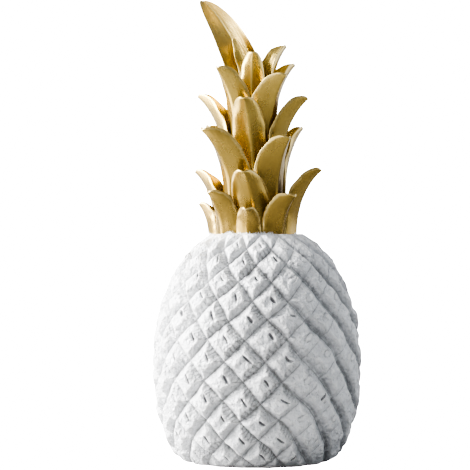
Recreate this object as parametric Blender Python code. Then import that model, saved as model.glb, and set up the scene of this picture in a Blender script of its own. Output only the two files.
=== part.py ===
"""Pineapple figurine, cast in one piece: a plump body carved with diamond eyes under a crown of curved leaves.

Metres, +Z up, standing on its flat foot at the origin. The front faces -Y.
"""

import bmesh
import bpy
import numpy as np

# Body: two quarter ellipses turned about Z
BODY_RADIUS = 0.0494
FOOT_RADIUS = 0.0315
WIDEST_HEIGHT = 0.048
SHOULDER_HEIGHT = 0.114
SHOULDER_FULLNESS = 0.45

# Diamond eyes, in half rows counted up the outline from the foot
EYES_ROUND = 16
HALF_ROWS = 13
HALF_ROW_LENGTH = 0.0095
TWIST_START = np.radians(0.3)
TWIST_TOP = np.radians(15.2)
EYE_RISE = 0.0006
GROOVE_DEPTH = 0.0018
APEX_SHIFT = 0.14
FOOT_FADE_ROWS = 1.0
TOP_FADE_ROWS = 2.0
TOP_FADE_END = 13.5

# Column that carries the leaves
CROWN_OFFSET = -0.0023
CORE_BASE_HEIGHT = 0.100
CORE_TOP_HEIGHT = 0.172
CORE_BASE_RADIUS = 0.0180
CORE_TOP_RADIUS = 0.0080
CORE_RINGS = 6
CORE_SIDES = 20

# Leaf blade
LEAF_THICKNESS = 0.0018
LEAF_ROOT_FILL = 0.0045
LEAF_CURL = 2.6
LEAF_RISE = 1.12
LEAF_CUP_ROOT = 0.36
LEAF_CUP_TIP = 0.76
LEAF_CUP_BEND = 0.35
LEAF_CUP_POWER = 2.2
LEAF_TAPER = 0.58
LEAF_TAPER_SHARE = 0.60
LEAF_TIP_HALF_WIDTH = 0.0007
LEAF_STATIONS = (0.0, 0.25, 0.45, 0.62, 0.76, 0.87, 0.95, 1.0)

# One row for each leaf: azimuth from the front in degrees (positive to the right), then in millimetres
# root height, tip height, root radius, tip reach, half width and sideways lean of the tip
LEAVES = (
    # foot of the crown
    (-6, 102, 119.4, 20.0, 27.4, 5.9, 0.0),
    (-48, 102, 127.5, 19.5, 29.5, 8.0, 1.0),
    (46, 102, 125.8, 19.0, 29.0, 8.4, -1.0),
    (-96, 102, 122.6, 20.5, 25.9, 6.8, 0.0),
    (102, 102, 119.0, 17.5, 20.5, 7.0, 0.0),
    (138, 102, 127.0, 19.5, 28.5, 8.0, 0.0),
    (180, 102, 121.5, 20.0, 26.0, 7.0, 1.0),
    (-138, 102, 127.5, 19.5, 29.0, 8.0, 0.0),
    # second tier
    (8, 105, 137.0, 17.5, 26.0, 9.5, -7.8),
    (-105, 105, 138.2, 18.0, 28.7, 8.6, 0.0),
    (80, 103, 138.6, 21.2, 33.8, 8.4, 0.0),
    (172, 105, 138.0, 17.5, 28.0, 8.8, 2.0),
    # third tier
    (-47, 118, 156.6, 14.5, 33.3, 9.9, 0.5),
    (46, 118, 153.2, 16.0, 25.6, 10.2, -1.0),
    (117, 118, 159.4, 17.5, 28.2, 8.4, 0.0),
    (-132, 118, 160.0, 14.5, 30.0, 9.0, 0.0),
    # fourth tier
    (3, 134, 171.6, 13.0, 23.0, 8.5, -5.2),
    (-105, 134, 174.6, 13.5, 27.4, 9.0, 0.0),
    (80, 134, 172.8, 14.0, 27.4, 9.2, 0.0),
    (178, 134, 173.0, 13.0, 26.0, 8.8, 1.0),
    # fifth tier
    (-42, 148, 186.2, 12.0, 25.4, 8.0, 0.0),
    (44, 148, 182.8, 12.0, 24.0, 9.2, -1.0),
    (121, 148, 190.0, 12.0, 24.6, 8.2, 0.0),
    (-136, 148, 188.0, 12.0, 24.0, 8.2, 0.0),
    # top
    (-3, 160, 193.8, 10.0, 16.0, 6.2, 1.0),
    (120, 160, 198.8, 9.5, 19.5, 7.6, 0.0),
    (150, 158, 203.6, 6.2, 2.5, 4.9, 10.2),
    (168, 158, 222.4, 9.8, 13.5, 9.2, 26.9),
)

# Corners of the union closer than this become one corner
WELD_DISTANCE = 0.000015

# Finish of each colour: linear red, green and blue, roughness, metallic
WHITE_PAINT = ((0.80, 0.81, 0.83), 0.62, 0.0)
GOLD_PAINT = ((0.66, 0.46, 0.17), 0.30, 1.0)


def clear_scene():
    for old in list(bpy.data.objects):
        bpy.data.objects.remove(old, do_unlink=True)
    for old in list(bpy.data.collections):
        bpy.data.collections.remove(old)


def collection_named(name):
    made = bpy.data.collections.new(name)
    bpy.context.scene.collection.children.link(made)
    return made


def finish_named(name, finish):
    colour, roughness, metallic = finish
    material = bpy.data.materials.new(name)
    material.use_nodes = True
    shader = material.node_tree.nodes["Principled BSDF"]
    shader.inputs["Base Color"].default_value = (*colour, 1.0)
    shader.inputs["Roughness"].default_value = roughness
    shader.inputs["Metallic"].default_value = metallic
    material.diffuse_color = (*colour, 1.0)
    return material


def object_from(name, points, faces, material, collection):
    mesh = bpy.data.meshes.new(name)
    mesh.from_pydata(points.tolist(), [], faces)
    mesh.materials.append(material)
    mesh.validate()
    mesh.update()
    made = bpy.data.objects.new(name, mesh)
    collection.objects.link(made)
    return made


def outline_radius(height):
    """Radius of the plain body: a quarter ellipse up to the widest height, a fuller one over the shoulder."""
    below = np.clip((WIDEST_HEIGHT - height) / WIDEST_HEIGHT, 0.0, 1.0)
    above = np.clip((height - WIDEST_HEIGHT) / (SHOULDER_HEIGHT - WIDEST_HEIGHT), 0.0, 1.0)
    lower = FOOT_RADIUS + (BODY_RADIUS - FOOT_RADIUS) * np.sqrt(1.0 - below**2)
    upper = BODY_RADIUS * (1.0 - above**2) ** SHOULDER_FULLNESS
    return np.where(height < WIDEST_HEIGHT, lower, upper)


def outline_at(half_rows):
    """Height, radius and outward direction on the outline, at a count of half rows along it."""
    heights = np.linspace(0.0, SHOULDER_HEIGHT * 0.99, 6000)
    radii = outline_radius(heights)
    steps = np.hypot(np.diff(heights), np.diff(radii))
    lengths = np.concatenate([[0.0], np.cumsum(steps)])
    wanted = half_rows * HALF_ROW_LENGTH
    slope_up = np.interp(wanted, lengths, np.gradient(heights, lengths))
    slope_out = np.interp(wanted, lengths, np.gradient(radii, lengths))
    size = np.hypot(slope_up, slope_out)
    height = np.interp(wanted, lengths, heights)
    radius = np.interp(wanted, lengths, radii)
    return height, radius, slope_up / size, -slope_out / size


def eye_relief(share_in):
    """Height of the carving from the share of the way in from a groove to the eye's point."""
    return EYE_RISE * share_in - GROOVE_DEPTH * (1.0 - share_in) ** 1.4


def share_into_eye(across, up):
    """0 on the grooves and 1 on the point of each diamond, at a place in eyes across and half rows up."""
    one = across + up / 2.0
    other = across - up / 2.0
    edge = np.maximum(np.abs(one - np.round(one)), np.abs(other - np.round(other)))
    return 1.0 - 2.0 * edge


def body_mesh():
    """A turned grid, four columns to an eye and two rows to a half row, pushed in and out by the carving.

    Its diagonals run along the grooves and its eye points move a little sideways, so an eye has four flat faces.
    """
    columns = EYES_ROUND * 4
    rows = HALF_ROWS * 2 + 1
    up = np.arange(rows)[:, None] / 2.0 * np.ones((1, columns))
    across = np.arange(columns)[None, :] / 4.0 * np.ones((rows, 1))
    share_in = share_into_eye(across, up)
    shifted = across + 0.5 + APEX_SHIFT * share_in
    fade = np.clip(up / FOOT_FADE_ROWS, 0.0, 1.0) * np.clip((TOP_FADE_END - up) / TOP_FADE_ROWS, 0.0, 1.0)
    carved = eye_relief(share_in)
    height, radius, out_radial, out_up = outline_at(up)
    turn = TWIST_START + TWIST_TOP * (up / HALF_ROWS) ** 2
    angle = shifted * (2.0 * np.pi / EYES_ROUND) + turn
    reach = radius + carved * fade * out_radial
    level = height + carved * fade * out_up
    points = np.stack([reach * np.sin(angle), -reach * np.cos(angle), level], axis=2).reshape(-1, 3)
    faces = []
    for row in range(rows - 1):
        for column in range(columns):
            beside = (column + 1) % columns
            a = row * columns + column
            b = row * columns + beside
            c = (row + 1) * columns + beside
            d = (row + 1) * columns + column
            if (row // 2 + column // 2) % 2:
                faces += [(a, b, c), (a, c, d)]
            else:
                faces += [(a, b, d), (b, c, d)]
    top = (rows - 1) * columns
    faces.append(tuple(range(columns - 1, -1, -1)))
    faces.append(tuple(range(top, top + columns)))
    return points, faces


def ring_faces(rings, sides):
    """Quads between closed rings of points, and a cap on each end."""
    faces = []
    for ring in range(rings - 1):
        for side in range(sides):
            beside = (side + 1) % sides
            low = ring * sides
            high = low + sides
            faces.append((low + side, low + beside, high + beside, high + side))
    last = (rings - 1) * sides
    faces.append(tuple(range(sides - 1, -1, -1)))
    faces.append(tuple(range(last, last + sides)))
    return faces


def core_mesh():
    """A column that narrows towards its top."""
    share = np.linspace(0.0, 1.0, CORE_RINGS)[:, None]
    angle = (np.arange(CORE_SIDES) + 0.37)[None, :] * 2.0 * np.pi / CORE_SIDES
    radius = CORE_BASE_RADIUS + (CORE_TOP_RADIUS - CORE_BASE_RADIUS) * share**0.8
    level = (CORE_BASE_HEIGHT + (CORE_TOP_HEIGHT - CORE_BASE_HEIGHT) * share) * np.ones_like(angle)
    points = np.stack([CROWN_OFFSET + radius * np.sin(angle), -radius * np.cos(angle), level], axis=2)
    return points.reshape(-1, 3), ring_faces(CORE_RINGS, CORE_SIDES)


def leaf_frame(leaf, along):
    """Midrib points, and the directions across the blade and out of its back, at shares of its length."""
    azimuth, root, tip, root_radius, reach, half_width, lean = leaf
    turn = np.radians(azimuth)
    outward = np.array([np.sin(turn), -np.cos(turn), 0.0])
    sideways = np.array([np.cos(turn), np.sin(turn), 0.0])
    upward = np.array([0.0, 0.0, 1.0])
    share = along[:, None]
    radius = (root_radius + (reach - root_radius) * share**LEAF_CURL) / 1000.0
    level = (root + (tip - root) * (1.0 - (1.0 - share) ** LEAF_RISE)) / 1000.0
    shift = lean / 1000.0 * share**2
    middle = np.array([CROWN_OFFSET, 0.0, 0.0]) + outward * radius + sideways * shift + upward * level
    outwards = LEAF_CURL * (reach - root_radius) * share ** (LEAF_CURL - 1.0)
    upwards = LEAF_RISE * (tip - root) * np.maximum(1.0 - share, 0.02) ** (LEAF_RISE - 1.0)
    bend = np.arctan2(outwards, upwards)
    back = outward * np.cos(bend) - upward * np.sin(bend)
    return middle, sideways, back


def cup_share(sides):
    """How far the blade has cupped inwards at a share of its half width: partly straight, partly bent."""
    size = np.abs(sides)
    return (1.0 - LEAF_CUP_BEND) * size + LEAF_CUP_BEND * size**LEAF_CUP_POWER


def leaf_mesh(leaf):
    """A blade that widens from a point, cups inwards on both sides of its midrib and bends outwards at the tip."""
    along = np.array(LEAF_STATIONS)
    half_width = leaf[5] / 1000.0
    middle, sideways, back = leaf_frame(leaf, along)
    opened = np.clip((1.0 - along) / LEAF_TAPER_SHARE, 0.0, 1.0) ** LEAF_TAPER
    width = LEAF_TIP_HALF_WIDTH + (half_width - LEAF_TIP_HALF_WIDTH) * np.sin(np.pi / 2.0 * opened)
    cup = LEAF_CUP_ROOT + (LEAF_CUP_TIP - LEAF_CUP_ROOT) * along
    thickness = LEAF_THICKNESS * (1.0 - 0.35 * along) + LEAF_ROOT_FILL * np.clip(1.0 - 2.0 * along, 0.0, 1.0)
    outer = np.array([-1.0, -0.5, 0.0, 0.5, 1.0])
    inner = np.array([0.9, 0.0, -0.9])
    rings = []
    for place, back_at, width_at, cup_at, thick_at in zip(middle, back, width, cup, thickness):
        hollow = cup_at * width_at * cup_share(outer)
        back_line = place + sideways * (outer * width_at)[:, None] - back_at * hollow[:, None]
        hollow = cup_at * width_at * cup_share(inner) + thick_at
        face_line = place + sideways * (inner * width_at)[:, None] - back_at * hollow[:, None]
        rings.append(np.concatenate([back_line, face_line]))
    sides = len(outer) + len(inner)
    return np.concatenate(rings), ring_faces(len(along), sides)


def close_seams(shells):
    """Weld corners that all but touch, cut the faces above the foot into triangles and drop folded pairs."""
    bmesh.ops.remove_doubles(shells, verts=shells.verts, dist=WELD_DISTANCE)
    above_foot = [face for face in shells.faces if face.calc_center_median().z > WELD_DISTANCE]
    bmesh.ops.triangulate(shells, faces=above_foot)
    same_corners = {}
    for face in shells.faces:
        same_corners.setdefault(frozenset(face.verts), []).append(face)
    folded = [face for pair in same_corners.values() if len(pair) > 1 for face in pair]
    bmesh.ops.delete(shells, geom=folded, context="FACES")


def keep_outer_shell(piece):
    """Apply the union and drop the small closed voids that stay between leaf roots."""
    joined = piece.evaluated_get(bpy.context.evaluated_depsgraph_get())
    whole = bpy.data.meshes.new_from_object(joined)
    shells = bmesh.new()
    shells.from_mesh(whole)
    shells.verts.ensure_lookup_table()
    left = set(shells.verts)
    groups = []
    while left:
        group = {left.pop()}
        edge_of_group = list(group)
        while edge_of_group:
            vertex = edge_of_group.pop()
            near = {link.other_vert(vertex) for link in vertex.link_edges}
            edge_of_group += list(near - group)
            group |= near
        left -= group
        groups.append(group)
    outer = max(groups, key=len)
    inner = [vertex for vertex in shells.verts if vertex not in outer]
    bmesh.ops.delete(shells, geom=inner, context="VERTS")
    close_seams(shells)
    shells.to_mesh(whole)
    shells.free()
    piece.modifiers.clear()
    piece.data = whole


def main():
    clear_scene()
    figurine = collection_named("pineapple_figurine")
    joined = collection_named("crown_pieces_to_join")
    white = finish_named("white_paint", WHITE_PAINT)
    gold = finish_named("gold_paint", GOLD_PAINT)
    body = object_from("pineapple", *body_mesh(), white, figurine)
    body.data.materials.append(gold)
    crown = [object_from("crown_core", *core_mesh(), gold, joined)]
    for number, leaf in enumerate(LEAVES):
        crown.append(object_from(f"leaf_{number:02d}", *leaf_mesh(leaf), gold, joined))
    for piece in crown:
        piece.hide_render = True
        piece.display_type = "WIRE"
    union = body.modifiers.new("join_crown", "BOOLEAN")
    union.operation = "UNION"
    union.operand_type = "COLLECTION"
    union.collection = joined
    union.solver = "EXACT"
    union.use_self = True
    union.material_mode = "TRANSFER"
    keep_outer_shell(body)
    body.data.name = "pineapple"
    joined.hide_render = True
    joined.hide_viewport = True


main()
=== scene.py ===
"""Looks of the pineapple figurine: carved white body, gold crown, and a plain studio.

Metres, +Z up, the flat foot on the origin and the front towards -Y, as in the part itself.
"""

import math

import bpy
import numpy as np
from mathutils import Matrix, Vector


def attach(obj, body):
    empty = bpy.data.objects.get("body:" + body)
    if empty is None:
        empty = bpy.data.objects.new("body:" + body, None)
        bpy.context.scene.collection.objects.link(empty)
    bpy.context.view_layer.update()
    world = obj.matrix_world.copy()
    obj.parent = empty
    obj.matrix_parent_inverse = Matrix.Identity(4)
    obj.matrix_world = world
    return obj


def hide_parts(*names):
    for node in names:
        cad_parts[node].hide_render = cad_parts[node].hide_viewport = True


bl_info = {
    "name": "Pineapple figurine",
    "version": (1, 0, 0),
    "blender": (4, 5, 0),
    "location": "3D View > Sidebar > Pineapple",
    "description": "Builds the carved body, the leaf crown and the studio of a pineapple figurine",
    "category": "Add Mesh",
}

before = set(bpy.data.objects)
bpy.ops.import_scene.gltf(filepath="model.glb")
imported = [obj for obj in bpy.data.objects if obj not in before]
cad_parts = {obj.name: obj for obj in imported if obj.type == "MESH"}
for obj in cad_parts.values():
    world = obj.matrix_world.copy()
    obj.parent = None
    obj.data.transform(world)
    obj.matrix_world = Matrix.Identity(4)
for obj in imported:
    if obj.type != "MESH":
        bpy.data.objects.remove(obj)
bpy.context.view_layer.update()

# Grid of the body, the winding of its rows, and where its carving fades out, in half rows from the foot
CELLS_PER_HALF_EYE = 15
CELLS_PER_EYE = 2 * CELLS_PER_HALF_EYE
OUTLINE_STEPS = 6000
OUTLINE_END = 0.99
FOOT_FADE_ROWS = 1.0
TOP_FADE_ROWS = 2.0
TOP_FADE_END = 13.5
TWIST_START = math.radians(0.3)
TWIST_TOP = math.radians(15.2)

# Unevenness of the body: spread in cells with a height in metres, and the rows' wander in eyes and half rows
BROAD_LUMPS = (4.0, 0.00026)
FINE_LUMPS = (1.5, 0.00016)
WANDER_SPREAD = 9.0
WANDER_ROUND = 0.026
WANDER_UP = 0.050

# One eye. Each eye has random traits from -1 to 1, and a side's share of it is varied by a spread in cells
EYE_TRAITS = 13
EYE_WIDTH = 0.0190
WIDE_SIDE_SPREAD = 1.6
STEEP_SIDE_SPREAD = 1.1
TOP_TILT = 0.0011
GROOVE_LINE_DEPTH = 0.0003

# Where the eyes run together into slanting ridges on the right, and where they face left
RIDGES_START = (math.radians(8), math.radians(34))
RIDGES_END = (math.radians(150), math.radians(178))
LEFT_START = (math.radians(10), math.radians(60))
RIDGE_JOIN = 0.72
RIDGE_CHANNEL = 0.11

# Cut beside the middle of an eye, each pair being a size and its random spread, in metres or degrees
CUT_ASIDE = (0.0011, 0.0007)
CUT_ABOVE = (0.0007, 0.0006)
CUT_ABOVE_LEFT = 0.0014
CUT_ABOVE_RIGHT = 0.0007
CUT_LEAN = (-52.0, 13.0)
CUT_LEAN_LEFT = -12.0
CUT_LEAN_RIGHT = 104.0
CUT_HALF_LENGTH = (0.0022, 0.0005)
CUT_HALF_WIDTH = (0.00052, 0.00012)
CUT_BEND = 0.0003
CUT_MISSING = (-0.5, -0.3)
CUT_EDGE = 1.5
FAR_FROM_CUT = 9.0

# Lip above the cut and mound below it: places and size in half widths of the cut, heights in metres
LIP_PLACE = 2.3
LIP_HEIGHT = 0.00035
LIP_LOST_ON_RIDGES = 0.6
MOUND_PLACE = 2.6
MOUND_SIZE = 2.2
MOUND_HEIGHT = 0.00035

# Masks of hollows and ridges, which place painted shade in the hollows and a painted highlight on the
# ridges: blur in cells, and the height that fills a mask
HOLLOW_BLUR = 1.6
HOLLOW_START = 0.35
RIDGE_BLUR = 2.0
MASK_HEIGHT = 0.0003

# Column that carries the leaves
CROWN_OFFSET = -0.0023
CORE_BASE_HEIGHT = 0.100
CORE_TOP_HEIGHT = 0.172
CORE_BASE_RADIUS = 0.0180
CORE_TOP_RADIUS = 0.0080
CORE_TAPER = 0.8
CORE_RINGS = 24
CORE_SIDES = 72

# Leaf blade
LEAF_STATIONS = 64
LEAF_STATION_CROWDING = 1.25
LEAF_STEPS = 22
LEAF_ROOT_FILL = 0.0045
LEAF_THINNING = 0.35
LEAF_CUP_ROOT = 0.36
LEAF_CUP_TIP = 0.76
LEAF_CUP_STRAIGHT = 0.65
LEAF_CUP_POWER = 2.2
LEAF_TAPER = 0.58
LEAF_TAPER_SHARE = 0.60
LEAF_TIP_HALF_WIDTH = 0.0007
LEAF_ROUNDING = 0.0012
LEAF_ROUNDING_WIDTH = 0.006
LEAF_CREASE_SHARE = 0.10
LEAF_RIM = 0.0012

# Waves of a blade's two rims, in radians from root to tip: a slow one, and a quick one of lesser height
RIGHT_RIM_WAVES = (17.0, 31.0)
LEFT_RIM_WAVES = (19.0, 29.0)
QUICK_WAVE_HEIGHT = 0.7
WAVE_WIDTH = 0.004

# One row for each leaf: azimuth from the front in degrees (positive to the right), then in millimetres
# root height, tip height, root radius, tip reach, half width and sideways lean of the tip
LEAVES = (
    # foot of the crown
    (-6, 102, 119.4, 20.0, 27.4, 5.9, 0.0),
    (-48, 102, 127.5, 19.5, 29.5, 8.0, 1.0),
    (46, 102, 125.8, 19.0, 29.0, 8.4, -1.0),
    (-96, 102, 122.6, 20.5, 25.9, 6.8, 0.0),
    (102, 102, 119.0, 17.5, 20.5, 7.0, 0.0),
    (138, 102, 127.0, 19.5, 28.5, 8.0, 0.0),
    (180, 102, 121.5, 20.0, 26.0, 7.0, 1.0),
    (-138, 102, 127.5, 19.5, 29.0, 8.0, 0.0),
    # second tier
    (8, 105, 137.0, 17.5, 26.0, 9.5, -7.8),
    (-105, 105, 138.2, 18.0, 28.7, 8.6, 0.0),
    (80, 103, 138.6, 21.2, 33.8, 8.4, 0.0),
    (172, 105, 138.0, 17.5, 28.0, 8.8, 2.0),
    # third tier
    (-47, 118, 156.6, 14.5, 33.3, 9.9, 0.5),
    (46, 118, 153.2, 16.0, 25.6, 10.2, -1.0),
    (117, 118, 159.4, 17.5, 28.2, 8.4, 0.0),
    (-132, 118, 160.0, 14.5, 30.0, 9.0, 0.0),
    # fourth tier
    (3, 134, 171.6, 13.0, 23.0, 8.5, -5.2),
    (-105, 134, 174.6, 13.5, 27.4, 9.0, 0.0),
    (80, 134, 172.8, 14.0, 27.4, 9.2, 0.0),
    (178, 134, 173.0, 13.0, 26.0, 8.8, 1.0),
    # fifth tier
    (-42, 148, 186.2, 12.0, 25.4, 8.0, 0.0),
    (44, 148, 182.8, 12.0, 24.0, 9.2, -1.0),
    (121, 148, 190.0, 12.0, 24.6, 8.2, 0.0),
    (-136, 148, 188.0, 12.0, 24.0, 8.2, 0.0),
    # top
    (-3, 160, 193.8, 10.0, 16.0, 6.2, 1.0),
    (120, 160, 198.8, 9.5, 19.5, 7.6, 0.0),
    (150, 158, 203.6, 6.2, 2.5, 4.9, 10.2),
    (168, 158, 222.4, 9.8, 13.5, 9.2, 26.9),
)

# Floor that bends up into a backdrop
SWEEP_FRONT = -3.0
SWEEP_BEND_START = 1.0
SWEEP_BEND_RADIUS = 0.8
SWEEP_BEND_STEPS = 24
SWEEP_HEIGHT = 3.0
SWEEP_HALF_WIDTH = 4.0

# Lamps: name, setting of its power, place, point that it faces, width, height and colour
MIDDLE = (0.0, 0.0, 0.11)
LAMPS = (
    ("key_light", "key_power", (-0.84, 0.03, 0.50), MIDDLE, 0.7, 1.0, (1.0, 0.99, 0.97)),
    ("low_card", "card_power", (-0.51, -0.02, 0.01), (-0.51, -0.02, 1.0), 0.54, 0.5, (1.0, 0.98, 0.95)),
    ("right_fill", "fill_power", (0.9, 0.25, 0.41), MIDDLE, 1.2, 0.8, (0.92, 0.96, 1.0)),
    ("front_card", "front_power", (-0.42, -1.06, 0.42), MIDDLE, 0.7, 0.6, (1.0, 0.99, 0.97)),
)

# Camera of the photograph: level, with the figurine's axis a little left of the middle
CAMERA_DISTANCE = 0.9
METRES_PER_PIXEL = 0.00048
FRAME_PIXELS = 470
SENSOR_WIDTH = 36.0
CAMERA_TARGET = (-0.0105, 0.0, 0.108)

# Spots for nodes in a material's editor
NODES_PER_ROW = 10
NODE_SPACING = 220


def number_property(name, description, default, **settings):
    return bpy.props.FloatProperty(name=name, description=description, default=default, **settings)


def length_property(name, description, default):
    return number_property(name, description, default, min=0.0, unit="LENGTH", precision=5)


def share_property(name, description, default):
    return number_property(name, description, default, min=0.1, max=0.5, subtype="FACTOR")


def power_property(name, description, default):
    return number_property(name, description, default, min=0.0, unit="POWER")


def count_property(name, description, default):
    return bpy.props.IntProperty(name=name, description=description, default=default, min=1)


def colour_property(name, description, default):
    return bpy.props.FloatVectorProperty(
        name=name, description=description, default=default, size=3, min=0.0, max=1.0, subtype="COLOR"
    )


class PineappleBodySettings(bpy.types.PropertyGroup):
    """Sizes of the body and of its eyes."""

    body_radius: length_property("Body radius", "Radius of the body at its widest", 0.0494)
    foot_radius: length_property("Foot radius", "Radius of the flat foot", 0.0315)
    widest_height: length_property("Widest height", "Height of the widest place above the foot", 0.048)
    shoulder_height: length_property("Shoulder height", "Height at which the shoulder would close", 0.114)
    shoulder_fullness: number_property("Shoulder fullness", "Power of its curve, smaller is fuller", 0.45)
    eyes_round: count_property("Eyes round", "Eyes in one turn", 16)
    half_rows: count_property("Half rows", "Half rows of eyes from foot to top", 13)
    half_row_length: length_property("Half row", "Length of half a row along the outline", 0.0095)
    eye_rise: length_property("Eye rise", "How far an eye's top stands above the plain body", 0.0006)
    groove_depth: length_property("Groove depth", "How deep the grooves lie below the plain body", 0.0020)
    wide_side: share_property("Wide side", "Share of an eye that its upper left side takes", 0.30)
    under_side: share_property("Under side", "Share of an eye that its lower left side takes", 0.20)
    steep_side: share_property("Steep side", "Share of an eye that each right-hand side takes", 0.233)
    slot_depth: length_property("Slot depth", "Depth of the cut beside each eye's middle", 0.0010)
    seed: count_property("Seed", "Start of the random differences between eyes", 11)


class PineappleCrownSettings(bpy.types.PropertyGroup):
    """Sizes that all the leaves share."""

    leaf_thickness: length_property("Leaf thickness", "Thickness of a blade at its root", 0.0018)
    curl: number_property("Curl", "Power of the outward curve", 2.6)
    rise: number_property("Rise", "Power of the upward curve", 1.12)
    midrib_depth: length_property("Midrib depth", "Depth of the crease down the middle of a blade", 0.0004)
    rim_wave: length_property("Rim wave", "Waviness of a blade's rim", 0.0003)
    seed: count_property("Seed", "Start of the random differences between leaves", 5)


class PineappleFinishSettings(bpy.types.PropertyGroup):
    """Colours of the paints."""

    white: colour_property("White paint", "Colour of the white paint", (0.80, 0.81, 0.83))
    white_shade: colour_property("White paint, greyer", "Colour of its thinner places", (0.67, 0.68, 0.70))
    # Painted highlight on the body's ridges
    ridge_highlight: colour_property("White paint, rubbed", "Colour of rubbed ridges", (0.88, 0.88, 0.88))
    # Painted shade in the body's hollows and on the steep sides of its eyes
    painted_shade: colour_property("Grime", "Colour settled in grooves", (0.16, 0.16, 0.16))
    # Painted shade in the channels between the ridges on the right
    channel_shade: colour_property("Wash", "Colour of the channels between the ridges", (0.20, 0.22, 0.25))
    # Painted shade deep in the cuts
    cut_shade: colour_property("Cut", "Colour deep in the cuts", (0.12, 0.12, 0.13))
    gold: colour_property("Gold paint", "Colour of the gold paint", (0.58, 0.425, 0.125))
    # Darker gold for random patches and brush streaks, and painted shade at the leaf roots and on the low
    # leaves
    gold_dark: colour_property("Gold paint, darker", "Colour of its deeper places", (0.31, 0.21, 0.055))
    olive: colour_property("Gold paint, greener", "Colour of its greenish patches", (0.48, 0.37, 0.12))
    # Cream of worn rims, with a painted highlight on the rims and the top leaf
    cream: colour_property("Worn rim", "Colour of rims where the gold has thinned", (0.70, 0.55, 0.25))


class PineappleStageSettings(bpy.types.PropertyGroup):
    """Studio around the figurine."""

    floor: colour_property("Floor", "Colour of the floor and backdrop", (0.33, 0.33, 0.33))
    air: colour_property("Air", "Colour of the light all round", (0.88, 0.94, 1.0))
    key_power: power_property("Key light", "Power from the left", 52.0)
    card_power: power_property("Low card", "Power from low on the left", 3.4)
    front_power: power_property("Front card", "Power from the front left", 4.2)
    fill_power: power_property("Right fill", "Power from the right", 4.6)
    ambient: number_property("Ambient", "Brightness all round", 0.27, min=0.0)
    beyond: number_property("Beyond", "Brightness seen past the backdrop", 12.0, min=0.0)


def blurred(field, sigma_up, sigma_round):
    """The field spread by a Gaussian, in cells: mirrored above and below, and joined up round the body."""
    doubled = np.concatenate([field, field[::-1]])
    rows = np.fft.fftfreq(doubled.shape[0])[:, None]
    columns = np.fft.fftfreq(doubled.shape[1])[None, :]
    weight = np.exp(-2.0 * np.pi**2 * ((sigma_up * rows) ** 2 + (sigma_round * columns) ** 2))
    return np.fft.ifft2(np.fft.fft2(doubled) * weight).real[: field.shape[0]]


def rough_field(random, shape, spread, height):
    """Random numbers blurred into soft lumps, with a mean of 0 and a deviation of the height."""
    field = blurred(random.standard_normal(shape), spread, spread)
    return (field - field.mean()) / field.std() * height


def smooth_share(low, high, value):
    """0 below low and 1 above high, with the curve 3 t squared - 2 t cubed between."""
    share = np.clip((value - low) / (high - low), 0.0, 1.0)
    return share * share * (3.0 - 2.0 * share)


def varied(size, own):
    """An eye's own size: the usual one plus its spread times the eye's trait."""
    usual, spread = size
    return usual + spread * own


def whole_cells(share, spread, own):
    """A side's own share of an eye, rounded to whole cells so that the edge of the top follows the mesh."""
    return np.round(share * CELLS_PER_EYE + spread * own) / CELLS_PER_EYE


def outline_radius(height, sizes):
    """Radius at a height: a quarter ellipse below the widest place, and a fuller curve above it.

    radius = foot + (body - foot) * sqrt(1 - below^2), or body * (1 - above^2) ^ fullness.
    """
    below = np.clip((sizes.widest_height - height) / sizes.widest_height, 0.0, 1.0)
    above = np.clip((height - sizes.widest_height) / (sizes.shoulder_height - sizes.widest_height), 0.0, 1.0)
    lower = sizes.foot_radius + (sizes.body_radius - sizes.foot_radius) * np.sqrt(1.0 - below**2)
    upper = sizes.body_radius * (1.0 - above**2) ** sizes.shoulder_fullness
    return np.where(height < sizes.widest_height, lower, upper)


def outline_at(half_rows, sizes):
    """Height, radius and outward direction at a length along the outline, found by adding up short steps."""
    heights = np.linspace(0.0, sizes.shoulder_height * OUTLINE_END, OUTLINE_STEPS)
    radii = outline_radius(heights, sizes)
    lengths = np.concatenate([[0.0], np.cumsum(np.hypot(np.diff(heights), np.diff(radii)))])
    wanted = half_rows * sizes.half_row_length
    slope_up = np.interp(wanted, lengths, np.gradient(heights, lengths))
    slope_out = np.interp(wanted, lengths, np.gradient(radii, lengths))
    size = np.hypot(slope_up, slope_out)
    height = np.interp(wanted, lengths, heights)
    radius = np.interp(wanted, lengths, radii)
    return height, radius, slope_up / size, -slope_out / size


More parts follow.
